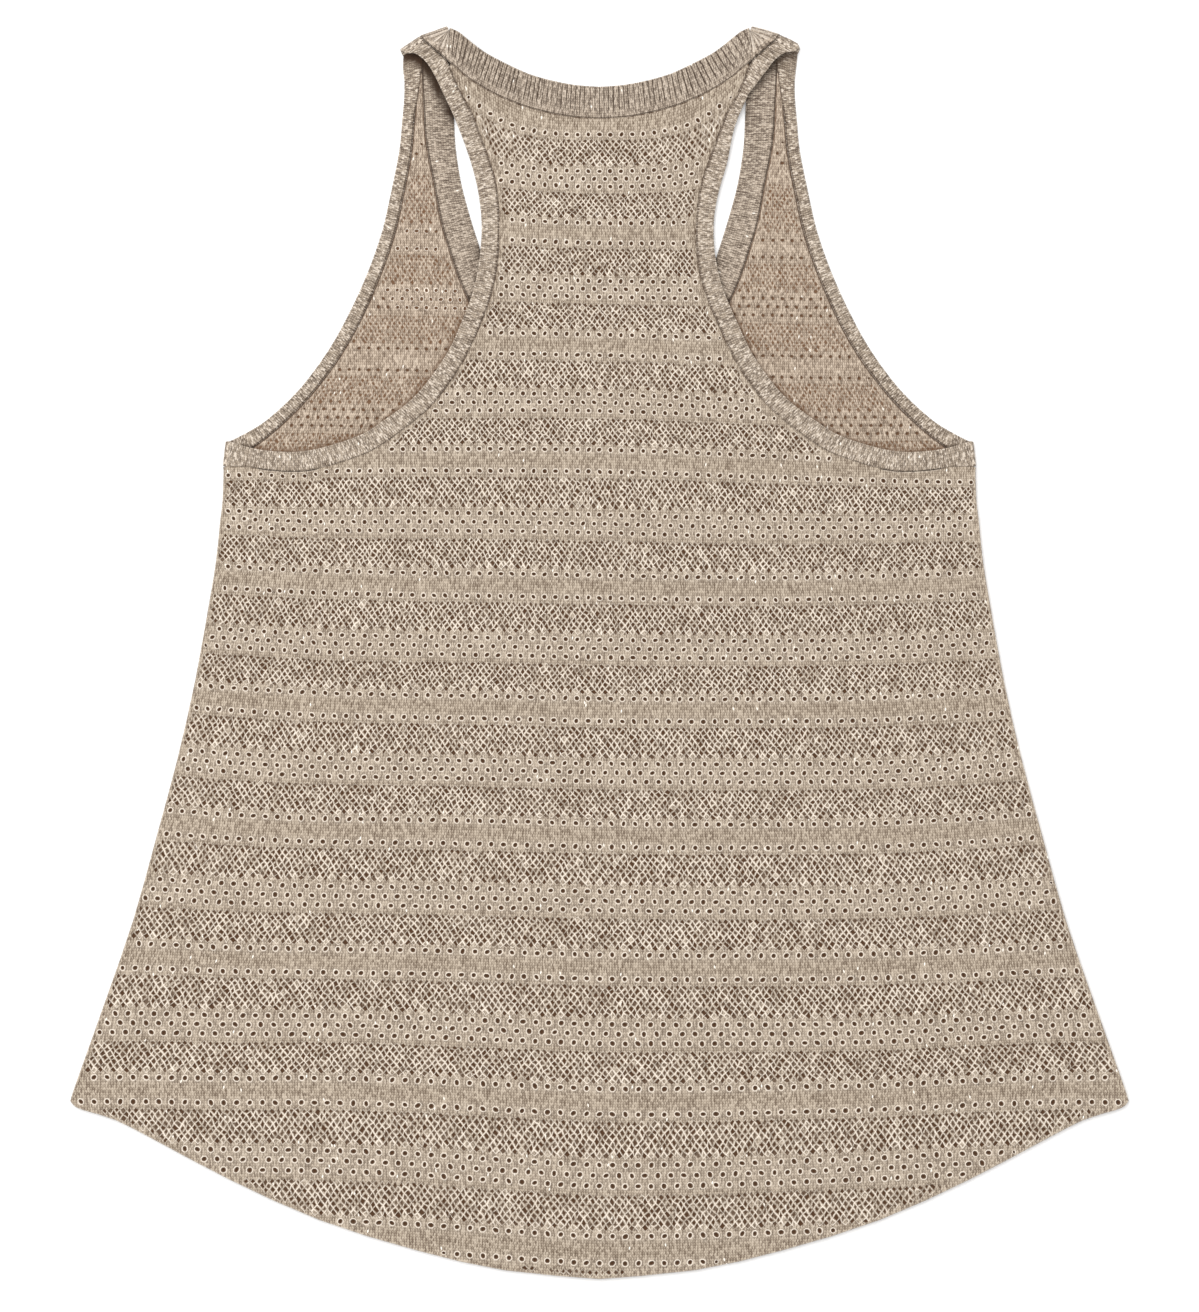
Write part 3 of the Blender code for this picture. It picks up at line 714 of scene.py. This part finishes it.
def addNet(name, crossings, cells, lastRow, rng):   # each cell has four threads that slope down to its hole
    work = openwork[name]
    centre = crossings[cells].mean(1)
    share = rng.uniform(*work["open"], (len(cells), 1))
    share = share + rng.uniform(-net["unequal"], net["unequal"], (len(cells), 4))
    climb = climbAt(work, centre)
    closed = net["closed"] + net["closedOnSlope"] * np.clip(climb - net["slopeFrom"], 0, 1)
    shut = rng.uniform(0, 1, len(cells)) < closed
    for i, big in enumerate(lastRow):
        if big is not None:
            share[i] = net["lastRow"][0 if big else 1]
            shut[i] = not big
    share = share / (1 + net["drawnShut"] * climb)[:, None]
    inner = (crossings[cells] - centre[:, None]) * share[:, :, None]
    slit = rng.uniform(*net["slit"], len(cells)) * np.sign(rng.uniform(*net["slitWays"], len(cells)))
    slit = slit[:, None, None]
    across = np.array([math.sqrt(0.5), -math.sqrt(0.5)])   # down to the right
    along = (inner * across).sum(2)[:, :, None] * across
    inner = centre[:, None] + along * (1 + slit) + (inner - along) * (1 - net["slitNarrow"] * slit)
    surface = clothLevel(work, crossings) - rng.uniform(0, 1, len(crossings)) * net["threadSink"]
    lower = inner.reshape(-1, 2)
    sunk = np.repeat(np.where(shut, net["closedSink"], 1.0), 4) * work["threadDepth"]
    points = [np.column_stack([crossings, surface]), np.column_stack([lower, clothLevel(work, lower) - sunk])]
    faces = []
    # the four threads slope down to a floor that shuts the hole and carries its painted shade
    for i, cell in enumerate(cells.tolist()):
        hole = [len(crossings) + 4 * i + k for k in range(4)]
        faces += [(cell[k], cell[(k + 1) % 4], hole[(k + 1) % 4], hole[k]) for k in range(4)]
        faces.append(tuple(hole))
    # each hole's floor gets painted shade, less where the cell is shut, and the crossings a painted highlight,
    # less where rows climb
    below = np.repeat(np.where(shut, net["closedShade"], rng.uniform(*work["holeShade"], len(cells))), 4)
    threads = rng.uniform(*work["threadShade"], len(crossings))
    threads = threads / (1 + net["dullOnSlope"] * climbAt(work, crossings))
    return addPanel(name, "net", points, faces, [threads, below])


def buildPanel(name, seed):
    work = openwork[name]
    rng = np.random.default_rng(seed)
    outline = frameOutline(name)
    crossings, cells, lastRow = buildNet(work, outline, rng)
    eyelets, drawn = placeEyelets(work, outline, rng)
    if len(drawn):   # the net leaves room for them
        centre = crossings[cells].mean(1)
        clear = np.hypot(*(centre[:, None] - drawn[None]).transpose(2, 0, 1)).min(1) > net["clear"]
        cells = cells[clear]
        lastRow = [row for row, keep in zip(lastRow, clear) if keep]
    knitPiece = addKnit(name, outline, crossings, cells, eyelets, rng)
    netPiece = addNet(name, crossings, cells, lastRow, rng)
    print(name, len(eyelets), "eyelets", len(cells), "net holes")
    return knitPiece, netPiece


frontKnit, frontNet = buildPanel("front_panel", 5)
backKnit, backNet = buildPanel("back_panel", 3)
print("panels made")


# The strips. Each section is free edge, sewn edge, and the way out of the right side at both.
def flatSections(rows, thickness, underside, outward):
    rows = smoothRows(rows)
    free = np.column_stack([rows[:, :2], underside(rows[:, 0], rows[:, 1]) + thickness / 2])
    sewn = np.column_stack([rows[:, 2:], underside(rows[:, 2], rows[:, 3]) + thickness / 2])
    run = free - sewn
    run /= np.linalg.norm(run, axis=1)[:, None]
    sewn += run * laid["seamGap"] / 2
    return np.column_stack([free, sewn, np.tile([0.0, 0.0, outward], (len(rows), 2))])


# the front strips close over the panel's tip
tip = dict(start=291.0, full=306.0, binding=-1.5, neckband=0.5)


def closedOver(sections, shift):
    share = np.clip((sections[:, 4] - tip["start"]) / (tip["full"] - tip["start"]), 0, 1)
    sections[:, 3] += share * shift
    return sections


def foldNormal(index):
    total = np.zeros(2)
    for start, end in ((index - 1, index), (index, index + 1)):
        if 0 <= start and end < len(foldLine):
            run = np.subtract(foldLine[end], foldLine[start])
            total += np.array([-abs(run[1]), -abs(run[0])]) / np.hypot(*run)
    return total / np.hypot(*total)


def foldSections(below, above, freeNormal, sewnNormal):
    result = []
    for step in range(1, foldSteps):
        t = step / foldSteps
        angle = math.pi * (t - 0.5)
        places, outs = [], []
        for part, normal in ((slice(0, 3), freeNormal), (slice(3, 6), sewnNormal)):
            low, high = below[part], above[part]
            out = np.array([-normal[0] * math.cos(angle), -normal[1] * math.cos(angle), math.sin(angle)])
            centre = low + (high - low) * t
            centre[2] = (low[2] + high[2]) / 2
            places.append(centre + out * (high[2] - low[2]) / 2)
            outs.append(out)
        result.append(np.concatenate(places + outs))
    return np.array(result)


def evenSections(sections, step, closed):
    if closed:
        sections = np.vstack([sections, sections[:1]])
    middle = (sections[:, 0:3] + sections[:, 3:6]) / 2
    lengths = np.concatenate([[0], np.cumsum(np.linalg.norm(np.diff(middle, axis=0), axis=1))])
    along = np.linspace(0, lengths[-1], round(lengths[-1] / step) + 1)
    if closed:
        along = along[:-1]
    even = np.column_stack([np.interp(along, lengths, column) for column in sections.T])
    for part in (slice(6, 9), slice(9, 12)):
        even[:, part] /= np.linalg.norm(even[:, part], axis=1)[:, None]
    return even, along


def mirrored(sections):
    return sections * np.tile([-1, 1, 1], 4)


# Across a strip, from its free edge: distance from the nearer edge, and height as a share of half its
# thickness; then its wrong side, from the sewn edge back to the free one
stripFace = ((0.0, 0.0), (0.12, 0.55), (0.45, 0.9), (1.0, 1.0))
faceSteps = 7
stripBack = ((0.5, -0.92), (1.4, -1.0), (2.3, -1.0), (3.1, -1.0))
stripBackEnd = (0.9, -0.92)


def stripPlaces(width, seamRows):   # where the rows of a strip run, as shares of its width, and their height
    places = [(distance / width, height) for distance, height in stripFace]
    start, end = stripFace[-1][0] / width, 1 - seamRows[0] / width
    places += [(start + (end - start) * i / faceSteps, 1.0) for i in range(1, faceSteps)]
    places += [(1 - distance / width, 1.0) for distance in seamRows[:-1]]
    places += [(1 - distance / width, height) for distance, height in (*reversed(stripFace), *stripBack)]
    return places + [(np.full(len(width), 0.5), -1.0), (stripBackEnd[0] / width, stripBackEnd[1])]


def addStrip(node, sections, along, thickness, relief, edgeWave, seamRows, closed, material):
    free, sewn = sections[:, 0:3], sections[:, 3:6]
    width = np.linalg.norm(sewn - free, axis=1)
    rings, knit, depth = [], [], []
    for place, height in stripPlaces(width, seamRows):
        spot = free + (sewn - free) * place[:, None]
        out = sections[:, 6:9] + (sections[:, 9:12] - sections[:, 6:9]) * place[:, None]
        out /= np.linalg.norm(out, axis=1)[:, None]
        fromFree = place * width
        lift = np.full(len(width), thickness / 2 * height)
        shade = np.zeros(len(width))
        if abs(height) > 0.5:   # not at its very edges
            low, shade = relief(along, fromFree, width - fromFree)
            lift = lift - low * np.sign(height)
        spot = spot + out * lift[:, None]
        if not rings:   # the free edge comes first
            spot = spot + (sewn - free) / width[:, None] * edgeWave(along)[:, None]
        rings.append(spot)
        knit.append(np.column_stack([along, fromFree]))
        depth.append(shade)
    points = np.stack(rings, 1).reshape(-1, 3)
    points[:, 2] += waves(points[:, 0], points[:, 1])
    points[:, 2] = np.maximum(points[:, 2], 0.0)
    count, k = len(width), len(rings)
    faces = []
    for i in range(count if closed else count - 1):
        j = (i + 1) % count
        faces += [(i * k + m, i * k + (m + 1) % k, j * k + (m + 1) % k, j * k + m) for m in range(k)]
    if not closed:
        faces.append(tuple(range(k)))
        faces.append(tuple(reversed(range((count - 1) * k, count * k))))
    return addPiece(f"{node}_rib", node, points, faces, np.stack(knit, 1).reshape(-1, 2),
                    np.stack(depth, 1).ravel(), material)


def unevenTable(rng, length, startPitch, endPitch, spread, weakest):   # places and depths of the grooves
    places = [0.0]
    while places[-1] < length + endPitch:
        share = min(1.0, places[-1] / length)
        places.append(places[-1] + startPitch + (endPitch - startPitch) * share ** 3)
    places = np.array(places) + rng.uniform(-1, 1, len(places)) * spread * startPitch
    return places, rng.uniform(weakest, 1.0, len(places))


def grooves(along, places, depths, width):
    nearest = np.clip(np.searchsorted(places, along), 1, len(places) - 1)
    left, right = along - places[nearest - 1], places[nearest] - along
    low = depths[nearest - 1] * np.exp(-(left / width) ** 2)
    return np.maximum(low, depths[nearest] * np.exp(-(right / width) ** 2))


darkest = 1.1       # shade at which a groove is as dark as it gets
ridgeWidth = 2.5    # how soon the cloth beside a groove takes its full painted highlight
ribs = dict(spread=0.14, depth=0.36, width=0.34, shade=1.0, step=0.34, weakest=0.7, deepest=1.15,
            minor=0.28, minorWidth=0.6,   # finer grooves between the others
            fromSeam=(2.7, 0.8), fromEdge=(0.6, 0.3), edgeWidth=0.6, edgeDepth=0.38, edgeEnds=(3.0, 0.3),
            seamDepth=0.2, seamWidth=0.28, seamRows=(3.1, 2.65, 2.3, 1.95, 1.4, 1.0))
# pitch at its left and right end, strength at the left end, the middle and the right end, and how far the
# ribs lean at the right end; the painted highlight on the cloth between them; sewn lines: distance from the
# edge, strength
bandRibs = {
    "neckband_front": dict(pitch=(1.9, 1.9), strength=(1.0, 0.9, 1.0), lean=0.0, ridge=0.60,
                           seams=((0.5, 1.2),)),
    "neckband_back": dict(pitch=(2.5, 3.6), strength=(1.7, 1.35, 1.9), lean=0.34, ridge=0.06,
                          seams=((0.5, 1.1), (2.3, 0.6))),
}
strengthAt = (0.0, 0.35, 0.65, 0.85, 1.0)   # along the band: left end, middle from and to, right end from
leanFrom = (0.75, 0.2)
bindingRibs = dict(pitch=1.5, spread=0.30, depth=0.16, width=0.34, shade=0.95, ridge=0.14, step=0.46,
                   weakest=0.35, patchy=0.3, patches=(2.9, 2.2, 1.7, 11.0),   # the grooves fade in and out
                   bend=0.25, bends=(1.3, 3.7), edgeWidth=0.5, edgeDepth=0.16, seamPlace=0.5, seamDepth=0.12,
                   seamWidth=0.36, seamLight=(104.0, 140.0, 0.35), seamRows=(1.6, 1.0))
# The right strap has turned a little where it crosses the front one: level, how far its free edge is drawn in
twist = dict(rows=((262.0, 0.0), (267.0, 0.5), (272.0, 1.5), (281.0, 3.0), (290.0, 3.5), (300.0, 3.8),
                   (307.0, 1.6), (315.0, 0.0)), width=10.0, lift=0.13)


def addNeckband(name, half, seed):
    even, along = evenSections(np.vstack([mirrored(half[:0:-1]), half]), ribs["step"], False)
    rng = np.random.default_rng(seed)
    band = bandRibs[name]
    main, minor = (unevenTable(rng, along[-1], band["pitch"][0] / parts, band["pitch"][1] / parts,
                               ribs["spread"], ribs["weakest"]) for parts in (1, 2))

    def relief(u, fromFree, fromSewn):
        start, soft = ribs["fromSeam"]
        edge, least = ribs["fromEdge"]
        fade = np.clip((fromSewn - start) / soft, 0, 1) * np.clip(fromFree / edge, least, 1)
        share = u / along[-1]
        strength = np.interp(share, strengthAt, np.take(band["strength"], (0, 1, 1, 2, 2)))
        leaning = u - band["lean"] * fromFree * np.clip((share - leanFrom[0]) / leanFrom[1], 0, 1)
        strong = grooves(leaning, *main, ribs["width"]) * fade * strength
        weak = grooves(leaning, *minor, ribs["width"] * ribs["minorWidth"]) * fade * ribs["minor"]
        low = np.minimum(np.maximum(strong, weak), ribs["deepest"])
        lines = sum(strong * np.exp(-((fromSewn - line) / ribs["seamWidth"]) ** 2)
                    for line, strong in band["seams"])
        # painted shade in the grooves and a painted highlight on the cloth between them
        shade = low * ribs["shade"] - band["ridge"] * np.clip(1 - ridgeWidth * low, 0, 1) * fade
        return low * ribs["depth"] + lines * ribs["seamDepth"], np.minimum(shade + lines, darkest)

    def edgeWave(u):
        length, less = ribs["edgeEnds"]
        ends = np.clip(np.minimum(u, along[-1] - u) / length - less, 0, 1)
        return grooves(u, *main, ribs["edgeWidth"]) * ribs["edgeDepth"] * ends

    return addStrip(name, even, along, laid["bandThickness"], relief, edgeWave, ribs["seamRows"], False,
                    materials["rib"])


def addBinding(name, side, seed):
    work, thickness = bindingRibs, laid["bindingThickness"]
    front = closedOver(flatSections(armholeFront, thickness, frontUnderside, -1.0), tip["binding"])
    back = flatSections(armholeBack, thickness, backUnderside, 1.0)
    toMiddle = np.array([-1.0, 0.0])
    underFold = foldSections(front[-1], back[0], toMiddle, toMiddle)
    shoulder = foldSections(front[0], back[-1], foldNormal(0), foldNormal(1))
    if side > 0:
        turned = np.interp(back[:, 1], *zip(*twist["rows"]))
        back[:, 0:3] += (back[:, 3:6] - back[:, 0:3]) * (turned / twist["width"])[:, None]
        back[:, 2] += turned * twist["lift"]
    sections = np.vstack([front, underFold, back, shoulder[::-1]])
    if side < 0:
        sections = mirrored(sections)
    even, along = evenSections(sections, work["step"], True)
    # the seam is a dark line on the straps and lighter round the underarm, where it lies on the back
    start, end, least = work["seamLight"]
    seamStrength = np.interp(even[:, 4], (start, end), (least, 1.0))
    seamStrength = np.where(even[:, 5] < thickness, 1.0, seamStrength)
    rng = np.random.default_rng(seed)
    main = unevenTable(rng, along[-1] + 1, work["pitch"], work["pitch"], work["spread"], work["weakest"])

    def relief(u, fromFree, fromSewn):
        alongLength, swing, acrossLength, turnLength = work["patches"]
        patchy = np.sin(u / alongLength + swing * np.sin(fromFree / acrossLength + u / turnLength))
        patchy = 1 - work["patchy"] + work["patchy"] * patchy
        bent = u + work["bend"] * np.sin(fromFree * work["bends"][0] + u / work["bends"][1])
        low = grooves(bent, *main, work["width"]) * patchy
        edge = np.exp(-((fromSewn - work["seamPlace"]) / work["seamWidth"]) ** 2) * seamStrength
        # painted shade in the grooves and a painted highlight on the cloth between them
        shade = low * work["shade"] - work["ridge"] * np.clip(1 - ridgeWidth * low, 0, 1)
        return low * work["depth"] + edge * work["seamDepth"], np.minimum(shade + edge, darkest)

    def edgeWave(u):
        return grooves(u, *main, work["edgeWidth"]) * work["edgeDepth"]

    return addStrip(name, even, along, thickness, relief, edgeWave, work["seamRows"], True,
                    materials["binding"])


thickness = laid["bandThickness"]
frontBand = closedOver(flatSections(neckFront, thickness, frontUnderside, -1.0), tip["neckband"])
turned, backBand = (flatSections(rows, thickness, backUnderside, 1.0) for rows in (neckTurnover, neckBack))
fold = foldSections(frontBand[-1], turned[0], foldNormal(2), foldNormal(1))
neckbandFront = addNeckband("neckband_front", np.vstack([frontBand, fold, turned]), 21)
neckbandBack = addNeckband("neckband_back", backBand, 22)
bindings = [addBinding("armhole_binding_left", -1, 31), addBinding("armhole_binding_right", 1, 32)]
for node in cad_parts.values():
    node.select_set(False)
print("strips made")


def planArea(piece):   # what the piece covers, seen from above
    mesh = piece.data
    flat = np.zeros(3 * len(mesh.vertices), np.float32)
    mesh.vertices.foreach_get("co", flat)
    corners = np.zeros(3 * len(mesh.loop_triangles), np.int32)
    mesh.loop_triangles.foreach_get("vertices", corners)
    a, b, c = flat.reshape(-1, 3)[corners.reshape(-1, 3)][:, :, :2].astype(float).transpose(1, 0, 2)
    doubled = (b[:, 0] - a[:, 0]) * (c[:, 1] - a[:, 1]) - (b[:, 1] - a[:, 1]) * (c[:, 0] - a[:, 0])
    return float(np.abs(doubled).sum() / 2)


# The plan area of each panel's plain knit, seen from above; the results are not kept
planArea(frontKnit)
planArea(backKnit)

# Floor and softbox in metres; the camera in millimetres, cameraHeight over the cloth's upper side
studio = dict(floorSize=20.0, floorLevel=-0.0002, paper="#fcfcfc", paperRoughness=0.9, worldLight=0.92,
              softboxSize=2.0, softboxPower=44.0, softboxPlace=(-0.7, 0.8, 2.2), cameraLevel=2504.0,
              cameraHeight=2500.0, viewMiddle=-1.89, viewHeight=708.5, sensor=36.0)


def layPaper():
    bpy.ops.mesh.primitive_plane_add(size=studio["floorSize"], location=(0, 0, studio["floorLevel"]))
    floor = bpy.context.object
    floor.name = "floor"
    paper = bpy.data.materials.new("matt white paper")   # uncoated, so only soft shadows show
    paper.use_nodes = True
    shader = paper.node_tree.nodes["Principled BSDF"]
    shader.inputs["Base Color"].default_value = hexColour(studio["paper"])
    shader.inputs["Roughness"].default_value = studio["paperRoughness"]
    floor.data.materials.append(paper)


def lightStudio():
    world = bpy.data.worlds.new("studio")
    bpy.context.scene.world = world
    world.use_nodes = True
    background = world.node_tree.nodes["Background"]
    background.inputs["Color"].default_value = (1.0, 1.0, 1.0, 1.0)
    background.inputs["Strength"].default_value = studio["worldLight"]
    lamp = bpy.data.lights.new("softbox", "AREA")
    lamp.shape = "SQUARE"
    lamp.size = studio["softboxSize"]
    lamp.energy = studio["softboxPower"]
    softbox = bpy.data.objects.new("softbox", lamp)
    softbox.location = studio["softboxPlace"]
    softbox.rotation_euler = (Vector((0, 0, 0)) - softbox.location).to_track_quat("-Z", "Y").to_euler()
    bpy.context.scene.collection.objects.link(softbox)


def placeCamera():
    cameraData = bpy.data.cameras.new("camera")
    cameraData.sensor_width = studio["sensor"]
    cameraData.lens = studio["sensor"] * studio["cameraHeight"] / studio["viewHeight"]
    camera = bpy.data.objects.new("camera", cameraData)
    camera.location = (0, studio["viewMiddle"] * mm, studio["cameraLevel"] * mm)
    bpy.context.scene.collection.objects.link(camera)
    bpy.context.scene.camera = camera
    bpy.context.scene.view_settings.view_transform = "Standard"


layPaper()
lightStudio()
placeCamera()
print("studio made")
